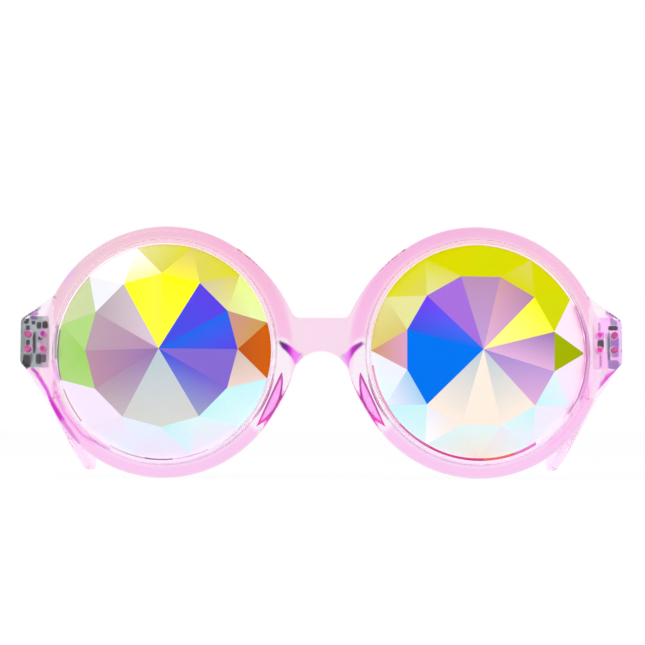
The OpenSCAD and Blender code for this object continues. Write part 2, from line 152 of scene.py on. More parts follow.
def lens_place(side):
    """Matrix that puts what is drawn round a lens axis, +Z to the front, into its rim."""
    return (
        STAND
        @ Matrix.Translation((side * LENS_X, 0, 0))
        @ Matrix.Rotation(side * WRAP, 4, "Z")
        @ Matrix.Rotation(pi / 2, 4, "X")
    )


# Meshes

def add_object(name, bm):
    """Turns a bmesh into an object of the scene."""
    bmesh.ops.recalc_face_normals(bm, faces=bm.faces)
    mesh = bpy.data.meshes.new(name)
    bm.to_mesh(mesh)
    bm.free()
    obj = bpy.data.objects.new(name, mesh)
    bpy.context.scene.collection.objects.link(obj)
    return obj


def apply_modifiers(obj):
    """Replaces an object's mesh by the result of its modifiers."""
    depsgraph = bpy.context.evaluated_depsgraph_get()
    mesh = bpy.data.meshes.new_from_object(obj.evaluated_get(depsgraph))
    obj.modifiers.clear()
    obj.data = mesh


def melt(obj, voxel, rounds):
    """Blends the solids of an object into one skin and smooths it."""
    remesh = obj.modifiers.new("blend", "REMESH")
    remesh.mode = "VOXEL"
    remesh.voxel_size = voxel
    smooth = obj.modifiers.new("soften", "SMOOTH")
    smooth.factor = 0.5
    smooth.iterations = rounds
    apply_modifiers(obj)


def set_materials(mesh, *materials):
    """Leaves a mesh with these materials in its slots, and every face in the first."""
    mesh.materials.clear()
    for material in materials:
        mesh.materials.append(material)


def shade(obj, sharp_deg):
    """Shades an object smooth, but for edges sharper than an angle."""
    bm = bmesh.new()
    bm.from_mesh(obj.data)
    for face in bm.faces:
        face.smooth = True
    for edge in bm.edges:
        edge.smooth = len(edge.link_faces) == 2 and edge.calc_face_angle(pi) < radians(sharp_deg)
    bm.to_mesh(obj.data)
    bm.free()


def add_revolve(bm, profile, matrix, segments=192):
    """Adds a closed ring swept from a profile of (radius, height) points round a local Z axis."""
    rings = []
    for k in range(segments):
        turn = 2 * pi * k / segments
        rings.append([bm.verts.new(matrix @ Vector((r * cos(turn), r * sin(turn), z))) for r, z in profile])
    count = len(profile)
    for k in range(segments):
        here, there = rings[k], rings[(k + 1) % segments]
        for i in range(count):
            j = (i + 1) % count
            bm.faces.new((here[i], there[i], there[j], here[j]))


def add_loft(bm, *rings):
    """Joins rings of points into one closed skin with flat ends."""
    loops = [[bm.verts.new(p) for p in ring] for ring in rings]
    for here, there in zip(loops, loops[1:]):
        for i in range(len(here)):
            j = (i + 1) % len(here)
            bm.faces.new((here[i], here[j], there[j], there[i]))
    bm.faces.new(loops[0])
    bm.faces.new(list(reversed(loops[-1])))


def add_prism(bm, outline, y0, y1):
    """Adds an upright slab of the front with its outline in X and Z, from y0 back to y1."""
    add_loft(bm, *([STAND @ Vector((x, y, z)) for x, z in outline] for y in (y0, y1)))


def arc(cx, cy, r, start_deg, end_deg, steps):
    """Points on an arc, both ends included."""
    turns = [radians(start_deg + (end_deg - start_deg) * k / steps) for k in range(steps + 1)]
    return [(cx + r * cos(a), cy + r * sin(a)) for a in turns]


def packed_bmesh(name):
    """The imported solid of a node, with its split corners merged."""
    bm = bmesh.new()
    bm.from_mesh(frame["nodes"][name].data)
    bmesh.ops.remove_doubles(bm, verts=bm.verts, dist=MERGE)
    return bm


def cut(obj, cutter_bm):
    """Takes the cutter's shape out of an object."""
    cutter = add_object("cutter", cutter_bm)
    mod = obj.modifiers.new("cut", "BOOLEAN")
    mod.operation = "DIFFERENCE"
    mod.solver = "MANIFOLD"
    mod.object = cutter
    apply_modifiers(obj)
    bpy.data.objects.remove(cutter)


# Materials

def colour(r, g, b):
    """A linear colour from the 0 to 255 values that a designer reads off a swatch."""
    def linear(v):
        v /= 255
        return v / 12.92 if v <= 0.04045 else ((v + 0.055) / 1.055) ** 2.4
    return (linear(r), linear(g), linear(b), 1)


def glass(r, g, b):
    """A tint that shows about as the given swatch once light has gone through the plastic."""
    return tuple(v ** GLASS_POWER for v in colour(r, g, b)[:3]) + (1,)


def new_group(name, outputs, **inputs):
    """An empty shader group with its inputs, colours where a tint is given, and its outputs."""
    group = bpy.data.node_groups.new(name, "ShaderNodeTree")
    kinds = {True: "NodeSocketColor", False: "NodeSocketFloat"}
    for key, default in inputs.items():
        kind = kinds[isinstance(default, tuple)]
        socket = group.interface.new_socket(key.replace("_", " "), in_out="INPUT", socket_type=kind)
        socket.default_value = default
    for label in outputs:
        group.interface.new_socket(label, in_out="OUTPUT", socket_type=kinds[label == "Color"])
    return group, group.nodes.new("NodeGroupInput"), group.nodes.new("NodeGroupOutput")


def node(tree, kind, settings=None, **inputs):
    """A node with its settings and plain input values set."""
    made = tree.nodes.new("ShaderNode" + kind)
    for key, value in (settings or {}).items():
        setattr(made, key, value)
    for key, value in inputs.items():
        made.inputs[key.replace("_", " ")].default_value = value
    return made


def wire(tree, *runs):
    """Links nodes: each run names a node, its output, the node that it feeds and the input."""
    for source, output, target, socket in runs:
        tree.links.new(source.outputs[output], target.inputs[socket])


# Sockets of a Mix node that mixes colours, and its settings where it multiplies them
MIX_SHARE, MIX_A, MIX_B, MIX_OUT = 0, 6, 7, 2
MULTIPLY = {"data_type": "RGBA", "blend_type": "MULTIPLY"}


def moulded_group():
    """Moulded clear plastic: slow drifts of tint, faint flow marks and a few dull patches."""
    group, given, out = new_group(
        "moulded_plastic", ("Color", "Roughness", "Height"),
        Tint=WHITE, Drift=0.1, Drift_Scale=30, Roughness=0.05, Flow_Depth=0.1)
    place = node(group, "TexCoord")
    drift = node(group, "TexNoise", Detail=2.0)
    flow = node(group, "TexNoise", Scale=260.0, Detail=3.0)
    mixed = node(group, "Mix", MULTIPLY)
    dull = node(group, "MapRange", From_Min=0.45, From_Max=0.75, To_Min=0.0, To_Max=0.04)
    rough = node(group, "Math", {"operation": "ADD"})
    depth = node(group, "Math", {"operation": "MULTIPLY"})
    wire(
        group,
        (place, "Object", drift, "Vector"), (place, "Object", flow, "Vector"),
        (given, "Drift Scale", drift, "Scale"), (given, "Drift", mixed, MIX_SHARE),
        (given, "Tint", mixed, MIX_A), (drift, "Fac", mixed, MIX_B), (flow, "Fac", dull, "Value"),
        (dull, "Result", rough, 0), (given, "Roughness", rough, 1), (flow, "Fac", depth, 0),
        (given, "Flow Depth", depth, 1), (mixed, MIX_OUT, out, "Color"),
        (rough, "Value", out, "Roughness"), (depth, "Value", out, "Height"),
    )
    return group


def steel_group():
    """Dark steel: blotches of painted glints, lighter reflections on the dark metal, and brushed streaks
    along the leaf.
    """
    group, given, out = new_group(
        "dark_steel", ("Color", "Roughness", "Height"),
        Base=(0.1, 0.1, 0.1, 1), Worn=(0.5, 0.5, 0.5, 1), Blotch_Scale=500, Roughness=0.3)
    place = node(group, "TexCoord")
    squash = node(group, "Mapping", Scale=(1.0, 1.0, 0.55))
    stretch = node(group, "Mapping", Scale=(1.0, 1.0, 0.12))
    streaks = node(group, "TexNoise", Scale=9000.0, Detail=2.0)
    blotches = node(group, "TexNoise", Detail=1.0)
    edge = node(group, "MapRange", From_Min=0.46, From_Max=0.56)
    mixed = node(group, "Mix", {"data_type": "RGBA"})
    rough = node(group, "Math", {"operation": "MULTIPLY_ADD"})
    streak_depth = 0.25
    rough.inputs[1].default_value = streak_depth
    wire(
        group,
        (place, "Object", stretch, "Vector"), (stretch, "Vector", streaks, "Vector"),
        (place, "Object", squash, "Vector"), (squash, "Vector", blotches, "Vector"),
        (given, "Blotch Scale", blotches, "Scale"), (blotches, "Fac", edge, "Value"),
        (edge, "Result", mixed, MIX_SHARE), (given, "Base", mixed, MIX_A),
        (given, "Worn", mixed, MIX_B), (streaks, "Fac", rough, 0), (given, "Roughness", rough, 2),
        (mixed, MIX_OUT, out, "Color"), (rough, "Value", out, "Roughness"),
        (streaks, "Fac", out, "Height"),
    )
    return group


def film_group():
    """Colour film on crystal: the facet's own colour with a fine grain and slow clouds."""
    group, given, out = new_group(
        "colour_film", ("Color", "Roughness"), Film=WHITE, Grain=0.1, Cloud=0.1)
    place = node(group, "TexCoord")
    grain = node(group, "TexNoise", Scale=2600.0, Detail=2.0)
    clouds = node(group, "TexNoise", Scale=130.0, Detail=2.0)
    grained = node(group, "Mix", MULTIPLY)
    clouded = node(group, "Mix", MULTIPLY)
    rough = node(group, "MapRange", To_Min=0.05, To_Max=0.12)
    wire(
        group,
        (place, "Object", grain, "Vector"), (place, "Object", clouds, "Vector"),
        (given, "Grain", grained, MIX_SHARE), (given, "Film", grained, MIX_A),
        (grain, "Fac", grained, MIX_B), (given, "Cloud", clouded, MIX_SHARE),
        (grained, MIX_OUT, clouded, MIX_A), (clouds, "Fac", clouded, MIX_B),
        (clouds, "Fac", rough, "Value"), (clouded, MIX_OUT, out, "Color"),
        (rough, "Result", out, "Roughness"),
    )
    return group


MOULDED = moulded_group()
STEEL = steel_group()
FILM = film_group()


def new_material(name, group, group_values, bump=0.0, glow=0.0, **principled):
    """A Principled material fed by one of the groups, with plain values on its own sockets."""
    mat = bpy.data.materials.new(name)
    mat.use_nodes = True
    tree = mat.node_tree
    shader = tree.nodes["Principled BSDF"]
    for key, value in principled.items():
        shader.inputs[key.replace("_", " ")].default_value = value
    effect = node(tree, "Group", {"node_tree": group}, **group_values)
    wire(tree, (effect, "Color", shader, "Base Color"), (effect, "Roughness", shader, "Roughness"))
    if bump:
        relief = node(tree, "Bump", Strength=bump, Distance=0.1 * MM)
        wire(tree, (effect, "Height", relief, "Height"), (relief, "Normal", shader, "Normal"))
    if glow:
        shader.inputs["Emission Strength"].default_value = glow
        wire(tree, (effect, "Color", shader, "Emission Color"))
    return mat, effect


def stored_colour(mat, effect, layer, socket):
    """Feeds a group's colour from the tints stored on the mesh."""
    stored = node(mat.node_tree, "VertexColor", {"layer_name": layer})
    wire(mat.node_tree, (stored, "Color", effect, socket))


def clear_plastic(name, transmission, absorb=None, density=0, tint=None, glow=0.0, roughness=0.04,
                  bump=0.15):
    """Clear moulded plastic, tinted on its skin and, where it absorbs light, in its depth."""
    values = {"Drift": 0.06, "Drift_Scale": 28.0, "Roughness": roughness, "Flow_Depth": 0.3}
    if tint:
        values["Tint"] = tint
    mat, effect = new_material(
        name, MOULDED, values, bump=bump, glow=glow, IOR=1.17, Transmission_Weight=transmission,
        Coat_Weight=0.25, Coat_Roughness=0.03)
    if not tint:
        stored_colour(mat, effect, "tint", "Tint")
    if absorb:
        tree = mat.node_tree
        depth = node(tree, "VolumeAbsorption", Color=absorb, Density=density)
        wire(tree, (depth, "Volume", tree.nodes["Material Output"], "Volume"))
    return mat


def film_material(name):
    """Coloured facets: the film's colour is stored on each facet's corners."""
    # The film glows faintly: painted light that keeps the facets bright beside the rim's shade.
    mat, effect = new_material(
        name, FILM, {"Grain": 0.06, "Cloud": 0.05}, glow=0.025, IOR=1.52, Transmission_Weight=0.06,
        Specular_IOR_Level=0.0)
    stored_colour(mat, effect, "film", "Film")
    return mat


def steel_material(name, glint=None, metallic=1.0, glow=0.0):
    """Dark steel with blotches of painted glints, or steel whose colours are stored on the mesh."""
    mat, effect = new_material(
        name, STEEL, {"Base": colour(26, 32, 42), "Blotch_Scale": 900.0, "Roughness": 0.2},
        bump=0.1, glow=glow, Metallic=metallic, Specular_IOR_Level=0.0)
    if glint:
        effect.inputs["Worn"].default_value = glint
    else:
        stored_colour(mat, effect, "tint", "Base")
        stored_colour(mat, effect, "tint", "Worn")
    return mat


FRAME_PINK = clear_plastic("frame_pink", 0.97, absorb=(0.93, 0.05, 0.65, 1), density=12)
# The lip glows: painted light that keeps the pale ring round each lens bright.
LIP_PINK = clear_plastic("lip_pink", 0.7, glow=0.06)
# The walls of each lens opening glow strongly: painted light on the facets beside them, in place of the
# light the rim shades off.
GLOWING_WALL_PINK = clear_plastic("glowing_wall_pink", 0.3, glow=0.55)
# The temples glow a little: painted light on their plastic.
TEMPLE_PINK = clear_plastic(
    "temple_pink", 0.8, absorb=(0.93, 0.05, 0.72, 1), density=5, tint=glass(255, 232, 249), glow=0.08,
    bump=0.02)
# The front end faces of the temples glow in a flat grey-green on the left and lilac on the right: painted
# light in the narrow gap behind each end piece, which lies in shade.
GLOWING_ENDS = {
    "left": clear_plastic("glowing_end_left", 0, tint=colour(126, 142, 138), glow=0.6, roughness=0.4),
    "right": clear_plastic("glowing_end_right", 0, tint=colour(222, 182, 236), glow=0.6, roughness=0.4),
}
# The pads glow: painted light on them where the rims in front take light away.
PAD_MAGENTA = clear_plastic("pad_magenta", 0.1, absorb=(0.9, 0.05, 0.85, 1), density=5, glow=0.35)
FILM_COLOURS = film_material("facet_film")
CLEAR_CRYSTAL, _ = new_material(
    "clear_crystal", MOULDED,
    {"Tint": colour(253, 251, 255), "Drift": 0.03, "Drift_Scale": 60.0, "Roughness": 0.01,
     "Flow_Depth": 0.1},
    bump=0.05, IOR=1.5, Transmission_Weight=1.0)
# The rivets' lighter pink blotches are painted glints.
RIVET_PINK, _ = new_material(
    "rivet_pink", STEEL,
    {"Base": colour(190, 44, 136), "Worn": colour(214, 84, 160), "Blotch_Scale": 1500.0,
     "Roughness": 0.3},
    bump=0.1, Metallic=0.4)
# The right leaf glows: painted light on the steel seen through the end piece.
LEAF_STEEL = {
    "left": steel_material("leaf_steel_left", metallic=0.35),
    "right": steel_material("leaf_steel_right", metallic=0.35, glow=0.2),
}
# Each side's hinge steel glints in its own colour, grey-green on the left and lilac on the right: painted
# reflections.
HINGE_STEEL = {
    "left": steel_material("hinge_steel_left", colour(184, 200, 196)),
    "right": steel_material("hinge_steel_right", colour(200, 176, 210)),
}


# Tints that are stored on a mesh, worked out in the front's own frame

def ramp(v, start, width):
    """A smooth rise from 0 at the start to 1 at a width beyond it."""
    v = np.clip((v - start) / width, 0, 1)
    return v * v * (3 - 2 * v)


def blend(tint, other, weight):
    """Mixes a tint, or one for each vertex, with another by a weight for each vertex."""
    return tint + (np.asarray(other) - tint) * weight[:, None]


def edge_distance(x, z, points):
    """Distance of vertices from a line of points."""
    nearest = np.full(len(x), np.inf)
    for (x0, z0), (x1, z1) in zip(points, points[1:]):
        dx, dz = x1 - x0, z1 - z0
        along = np.clip(((x - x0) * dx + (z - z0) * dz) / (dx * dx + dz * dz), 0, 1)
        nearest = np.minimum(nearest, np.hypot(x - x0 - along * dx, z - z0 - along * dz))
    return nearest


def patch_weight(x, z, outline, soft):
    """Whether vertices lie in a closed outline, 1 well inside and 0 outside its soft edge."""
    closed = outline + outline[:1]
    inside = np.zeros(len(x), bool)
    for (x0, z0), (x1, z1) in zip(closed, closed[1:]):
        if z0 != z1:
            inside ^= ((z0 > z) != (z1 > z)) & (x < x0 + (z - z0) * (x1 - x0) / (z1 - z0))
    away = edge_distance(x, z, closed)
    return ramp(np.where(inside, away, -away), -soft / 2, soft)


def store_tint(obj, tint_at):
    """Stores on each vertex the tint that a function gives for its place and its normal."""
    mesh = obj.data
    count = len(mesh.vertices)
    places = np.empty(count * 3)
    normals = np.empty(count * 3)
    mesh.vertices.foreach_get("co", places)
    mesh.vertices.foreach_get("normal", normals)
    back = np.array(STAND.inverted())
    places = places.reshape(-1, 3) @ back[:3, :3].T + back[:3, 3]
    normals = normals.reshape(-1, 3) @ back[:3, :3].T
    tints = tint_at(places, normals)
    layer = mesh.color_attributes.new("tint", "FLOAT_COLOR", "POINT")
    layer.data.foreach_set("color", np.clip(tints, 0, 1).ravel())


# Tints of the front: the lower and upper halves of a rim, from its lip to its outer edge. They paint
# light and shade: a pale lip, paler lower halves, deeper upper halves that differ from left to right and
# from the outer side to the nose side, and a painted highlight along the outer edge
LIP_LOW = glass(255, 247, 255)
LIP_HIGH = glass(255, 238, 242)
BODY_LOW = glass(255, 218, 249)
BODY_HIGH = {
    "left": {"outer": glass(246, 216, 226), "inner": glass(253, 204, 230)},
    "right": {"outer": glass(252, 210, 234), "inner": glass(252, 202, 236)},
}
EDGE = glass(254, 240, 252)
BRIDGE_TINT = glass(253, 232, 245)
LUG_TINT = glass(255, 247, 254)

# Where one tint gives way to the next, in millimetres from a lens axis, by distance, by height or
# by how far in towards the nose: first place and width
LIP_TO_BODY = (26.3, 2.0)
BODY_TO_EDGE = (29.6, 1.1)
RIM_TO_BRIDGE = (30.4, 0.8)
RIM_TO_LUG = (30.0, 0.8)
LOW_TO_HIGH = (-25, 50)
OUTER_TO_INNER = (-22, 44)
WEB_INWARD = (0, 8)
WEB_UPWARD = (-2, 6)
EDGE_LOSS_AT_WEBS = 0.8

# Lines of painted light and shade on the plastic, pale highlights, magenta reflections along edges and
# darker lines of shade, in millimetres across and up from the middle between the lenses: swatch,
# strength, half width, soft edge and points
FRAME_LIGHT_MARKS = [
    ((255, 252, 255), 0.9, 1.5, 1.2, [(-9.6, 1.0), (-9.3, -6.0), (-11.0, -11.5), (-14.8, -17.0)]),
    ((255, 252, 255), 0.9, 1.5, 1.2, [(9.8, 1.0), (9.5, -6.0), (11.2, -11.5), (14.8, -17.0)]),
    ((222, 50, 218), 1.0, 0.32, 0.4, [(-67.9, -5.8), (-65.9, -9.0), (-64.7, -11.9), (-61.9, -16.4)]),
    ((238, 150, 235), 0.9, 0.25, 0.4, [(-61.9, -16.4), (-58.0, -21.9)]),
    ((180, 100, 205), 1.0, 0.35, 0.5, [(-69.7, 9.0), (-68.7, 9.3)]),
    ((130, 95, 150), 0.8, 0.15, 0.4, [(-68.4, 10.1), (-67.9, 10.7)]),
    ((160, 45, 172), 1.0, 0.25, 0.4, [(-69.3, -4.1), (-68.2, -5.2)]),
    ((240, 205, 252), 0.8, 0.25, 0.5, [(-66.2, 13.0), (-63.6, 15.7), (-59.7, 19.9)]),
    ((150, 155, 165), 0.75, 0.1, 0.3, [(-63.3, 6.3), (-63.8, 2.2), (-63.7, -1.6)]),
    ((240, 185, 248), 0.7, 0.2, 0.5, [(-64.4, -2.4), (-62.9, -6.4)]),
    ((240, 172, 232), 0.8, 0.1, 0.35, [(-63.9, -9.4), (-61.7, -14.4), (-57.2, -19.9), (-50.7, -23.4)]),
    ((232, 80, 226), 0.9, 0.2, 0.6, [(68.9, 9.7), (70.0, 8.9)]),
    ((226, 60, 216), 1.0, 0.25, 0.7, [(66.9, -9.3), (67.6, -7.4), (69.0, -5.4), (71.2, -4.2)]),
    ((235, 180, 236), 0.6, 0.25, 0.5, [(62.4, 9.0), (64.0, 4.2), (64.5, -0.4), (63.9, -5.9), (62.4, -11.0)]),
    ((205, 110, 175), 0.8, 0.08, 0.25,
     [(61.1, 11.5), (63.5, 4.5), (63.8, -1.5), (63.0, -6.9), (61.6, -10.9), (59.3, -14.6)]),
]

# The two pointed reflections beside the arch, in the same millimetres: the outline, and swatches
# by how far across they lie
REFLECTIONS = [
    ([(-10.3, 2.5), (-8.3, 1.7), (-6.7, 0.7), (-5.7, -0.2), (-4.2, -0.9), (-5.0, -1.4), (-5.7, -2.3),
      (-6.2, -3.6), (-6.4, -2.9), (-7.1, -1.5), (-8.0, -0.6), (-9.3, 0.7)],
     [(-9.6, (76, 30, 104)), (-8.1, (160, 38, 186)), (-7.4, (225, 60, 220)),
      (-6.6, (250, 140, 252)), (-5.2, (244, 165, 250)), (-4.3, (200, 175, 220))]),
    ([(10.3, 1.9), (9.5, 2.1), (8.0, 1.4), (6.8, 0.5), (6.0, -0.5), (4.8, -1.0), (5.4, -1.7), (6.1, -2.9),
      (6.7, -4.3), (6.8, -2.6), (7.2, -1.7), (8.0, -0.5), (9.0, 0.6)],
     [(4.8, (205, 175, 225)), (5.6, (246, 180, 250)), (6.7, (250, 150, 250)),
      (7.3, (215, 50, 215)), (8.1, (200, 50, 200)), (9.8, (150, 35, 160))]),
]


def shell_tint(places, _):
    """Tint of the front at each vertex."""
    x, z = places[:, 0] / MM, places[:, 2] / MM
    out = np.abs(x) - LENS_X / MM
    r = np.hypot(out, z)
    # Painted light and shade: paler low, deeper high, with painted highlights on the lip and outer edge
    high = ramp(z, *LOW_TO_HIGH)
    tops = [blend(ends["outer"], ends["inner"], ramp(-out, *OUTER_TO_INNER)) for ends in BODY_HIGH.values()]
    body = blend(BODY_LOW, np.where((x > 0)[:, None], tops[1], tops[0]), high)
    webbed = ramp(-out, *WEB_INWARD) * ramp(z, *WEB_UPWARD)
    tint = blend(blend(LIP_LOW, LIP_HIGH, high), body, ramp(r, *LIP_TO_BODY))
    tint = blend(tint, EDGE, ramp(r, *BODY_TO_EDGE) * (1 - EDGE_LOSS_AT_WEBS * webbed))
    tint = blend(tint, BRIDGE_TINT, ramp(r, *RIM_TO_BRIDGE) * (out < 0))
    tint = blend(tint, LUG_TINT, ramp(r, *RIM_TO_LUG) * (out > 0))
    # Painted highlights, reflections and shade along the listed lines
    for swatch, strength, width, soft, points in FRAME_LIGHT_MARKS:
        on_line = 1 - ramp(edge_distance(x, z, points), width, soft)
        tint = blend(tint, glass(*swatch), strength * on_line)
    for outline, stops in REFLECTIONS:
        across = [stop for stop, _ in stops]
        tints = np.array([glass(*swatch) for _, swatch in stops])
        shine = np.stack([np.interp(x, across, channel) for channel in tints.T], axis=1)
        tint = blend(tint, shine, patch_weight(x, z, outline, soft=0.35))
    pocket_y = LUG_BACK - LEAF_T - 0.1 * MM
    return blend(tint, WHITE, (np.abs(x) > LUG_ROOT_X / MM) & (places[:, 1] > pocket_y))


# Tints of a nose pad, and where one gives way to the next: first place and width, in millimetres
# but for NOSE_TO_RIM, which goes by how far the skin faces sideways
PAD_FILL = colour(255, 188, 252)
# The pad's lines are painted shade round its outline, with a painted highlight at the low tip.
PAD_SHADE_AND_GLINT = {"rim": colour(186, 10, 150), "nose": colour(206, 66, 204), "tip": colour(232, 20, 190)}
LINE_TO_FILL = (0.36, 0.2)
LINE_TO_TIP = (-3.5, 1.5)
NOSE_TO_RIM = (-0.5, 1)


def pad_tint(places, normals):
    """Tint of a nose pad: pale inside a line of painted shade round its outline, deepest on the side facing
    the rim, with a painted highlight at its low tip.
    """
    x, z = places[:, 0] / MM, places[:, 2] / MM
    corners = [Vector(point) for point in zip(x, z)]
    outline = [tuple(corners[k]) for k in convex_hull_2d(corners)]
    towards_rim = ramp(normals[:, 0] * np.sign(x), *NOSE_TO_RIM)
    line = blend(PAD_SHADE_AND_GLINT["nose"], PAD_SHADE_AND_GLINT["rim"], towards_rim)
    line = blend(line, PAD_SHADE_AND_GLINT["tip"], ramp(z.min() - z, *LINE_TO_TIP))
    return blend(line, PAD_FILL, ramp(edge_distance(x, z, outline + outline[:1]), *LINE_TO_FILL))


# Tints of a front hinge leaf as the plastic shows it, and where one gives way to the next: first
# place and width, in millimetres but for MARK_FADE, which is in shares of a mark's half size
# The leaf's ground and marks paint the reflections and shade of the chrome seen through the plastic: mint on
# the left, pink on the right, paler inward of the axis.
PLAIN_STEEL = colour(176, 178, 186)
LEAF_BASE = {"left": colour(176, 206, 198), "right": colour(255, 208, 255)}
LEAF_INNER = {"left": colour(232, 246, 238), "right": colour(255, 250, 255)}
INNER_TO_BASE = (-0.8, 1.6)
PLAIN_TO_COVERED = (0.4, 0.2)
MARK_FADE = (0.85, 0.35)

# Marks on a leaf, dark and pale patches of painted reflection and shade, in millimetres out from the
# hinge's axis and up from its middle: swatch, first and last place across, first and last height
LEAF_MARKS = {
    "left": [
        ((4, 10, 14), 3.0, 5.0, -6.3, -3.1), ((4, 10, 14), 3.6, 4.8, 4.4, 6.3),
        ((4, 10, 20), 3.3, 4.2, -0.9, 0.5), ((6, 12, 18), 0.5, 1.7, 3.2, 4.8),
        ((12, 18, 16), -1.2, 0.3, 3.2, 5.0), ((16, 42, 36), 0.2, 1.8, -5.4, -2.9),
        ((90, 116, 110), -0.8, 0.3, -5.0, -3.0), ((14, 44, 54), 0.1, 1.3, 0.4, 1.3),
        ((4, 8, 12), 1.9, 2.6, -2.7, 2.2), ((10, 18, 22), 3.3, 4.3, 2.8, 4.0),
        ((8, 18, 60), 2.0, 2.9, 4.2, 5.1), ((120, 136, 140), 1.5, 3.2, 5.4, 6.2),
        ((100, 120, 118), 2.6, 3.2, -5.0, -2.8), ((232, 206, 240), 0.5, 1.7, -1.5, -0.2),
        ((150, 168, 164), 4.4, 5.0, -2.4, 3.4),
    ],
    "right": [
        ((24, 20, 28), 2.3, 4.6, 3.1, 4.2), ((164, 146, 190), 2.8, 4.5, 4.3, 6.1),
        ((190, 172, 200), -0.4, 0.4, 2.8, 5.0), ((130, 40, 160), 0.4, 1.2, 1.3, 2.6),
        ((24, 48, 56), -0.5, 1.2, -1.4, 0.9), ((190, 170, 200), -0.2, 0.5, -5.8, -2.9),
        ((255, 250, 255), 1.3, 2.1, -2.3, 1.2), ((100, 120, 130), 2.1, 2.8, -4.5, 2.5),
        ((156, 112, 202), 2.9, 4.8, -3.3, 1.9), ((160, 124, 190), 2.2, 4.8, -6.3, -4.1),
    ],
}
# A leaf's two spigots, then the two rivets beside them, upper first: each a dot in a pale halo
DOTS = {
    "left": [(190, 36, 172), (210, 70, 140), (196, 50, 132), (190, 92, 132)],
    "right": [(232, 16, 190), (222, 40, 156), (232, 90, 186), (202, 84, 226)],
}
DOT_HALO = colour(236, 206, 240)
DOT_FADE = (0.55, 0.25)
HALO_FADE = (0.75, 0.5)


def leaf_tint(name):
    """Gives the function that colours a front hinge leaf, plain steel where nothing covers it."""
    def tint_at(places, _):
        x = np.abs(places[:, 0]) / MM - HINGE_X / MM
        z = (places[:, 2] - HINGE_UP) / MM
        tint = blend(LEAF_INNER[name], LEAF_BASE[name], ramp(x, *INNER_TO_BASE))
        # Painted reflections and shade of the chrome
        for swatch, x0, x1, z0, z1 in LEAF_MARKS[name]:
            across = np.abs(x - (x0 + x1) / 2) / (x1 - x0) * 2
            up = np.abs(z - (z0 + z1) / 2) / (z1 - z0) * 2
            away = (across ** 4 + up ** 4) ** 0.25
            tint = blend(tint, colour(*swatch), 1 - ramp(away, *MARK_FADE))
        for k, swatch in enumerate(DOTS[name]):
            column, row = divmod(k, 2)
            away = np.hypot(x - column * RIVET_PITCH / MM, z - RIVET_PITCH / MM * (0.5 - row))
            tint = blend(tint, DOT_HALO, 1 - ramp(away, *HALO_FADE))
            tint = blend(tint, colour(*swatch), 1 - ramp(away, *DOT_FADE))
        return blend(PLAIN_STEEL, tint, ramp((LUG_BACK - places[:, 1]) / MM, *PLAIN_TO_COVERED))
    return tint_at


def painted_leaf(name):
    """A front hinge leaf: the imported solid, cut into a fine grid that carries its marks."""
    bm = packed_bmesh(f"front_hinge_leaf_{name}")
    grid = 0.22 * MM
    low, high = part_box(f"front_hinge_leaf_{name}")
    for axis in (0, 2):
        across = Vector((1, 0, 0)) if axis == 0 else Vector((0, sin(LEAN), cos(LEAN)))
        for k in range(1, int((high[axis] - low[axis]) / grid) + 1):
            spot = Vector(low)
            spot[axis] += k * grid
            bmesh.ops.bisect_plane(bm, geom=bm.verts[:] + bm.edges[:] + bm.faces[:],
                                   plane_co=spot, plane_no=across, dist=10 * MERGE)
    leaf = add_object(f"leaf_{name}", bm)
    shade(leaf, sharp_deg=30)
    store_tint(leaf, leaf_tint(name))
    return leaf


# Front shell

def rim_profile():
    """Section of a rim before it is cut for its lens, as (radius, height) points."""
    outer = RIM_R - RIM_EDGE_R
    spare = 0.6 * MM
    inner = LENS_R - spare
    return (
        [(inner, RIM_FRONT), (inner, -RIM_BACK)]
        + arc(outer, -RIM_BACK + RIM_EDGE_R, RIM_EDGE_R, -90, 0, steps=8)
        + arc(outer, RIM_FRONT - RIM_EDGE_R, RIM_EDGE_R, 0, 90, steps=8)
    )


def web_middle(r, angle):
    """Middle of the circle of a web that leaves the right rim at an angle above its own middle."""
    end = Vector((LENS_X - RIM_R * cos(angle) * cos(WRAP), RIM_R * sin(angle)))
    return end + r * Vector((cos(angle), -sin(angle)))


def bridge_outline():
    """The bridge: its top edge, upper webs, lower webs and the arch that touches the lower ones."""
    top_web = web_middle(TOP_WEB_R, TOP_WEB_ANGLE)
    low_web = web_middle(LOW_WEB_R, LOW_WEB_ANGLE)
    fillet_z = BRIDGE_TOP + BRIDGE_FILLET
    fillet_x = top_web.x - sqrt((TOP_WEB_R + BRIDGE_FILLET) ** 2 - (fillet_z - top_web.y) ** 2)
    fillet_turn = degrees(atan2(top_web.y - fillet_z, top_web.x - fillet_x))
    arch_top = BRIDGE_TOP - BRIDGE_H
    arch_r = (((low_web - Vector((0, arch_top))).length_squared - LOW_WEB_R ** 2)
              / (2 * (LOW_WEB_R - low_web.y + arch_top)))
    arch_z = arch_top - arch_r
    foot_turn = degrees(atan2(low_web.y - arch_z, low_web.x))
    top_angle, low_angle = degrees(TOP_WEB_ANGLE), degrees(LOW_WEB_ANGLE)
    half = (
        arc(fillet_x, fillet_z, BRIDGE_FILLET, -90, fillet_turn, steps=12)
        + arc(top_web.x, top_web.y, TOP_WEB_R, 180 + fillet_turn, 180 - top_angle, steps=24)
        + arc(LENS_X, 0, RIM_MID_R, 180 - top_angle, 180 - low_angle, steps=60)
        + arc(low_web.x, low_web.y, LOW_WEB_R, 180 - low_angle, 180 + foot_turn, steps=30)
        + arc(0, arch_z, arch_r, foot_turn, 90, steps=24)
    )
    left = [(-x, z) for x, z in reversed(half[:-1])]
    return half + left


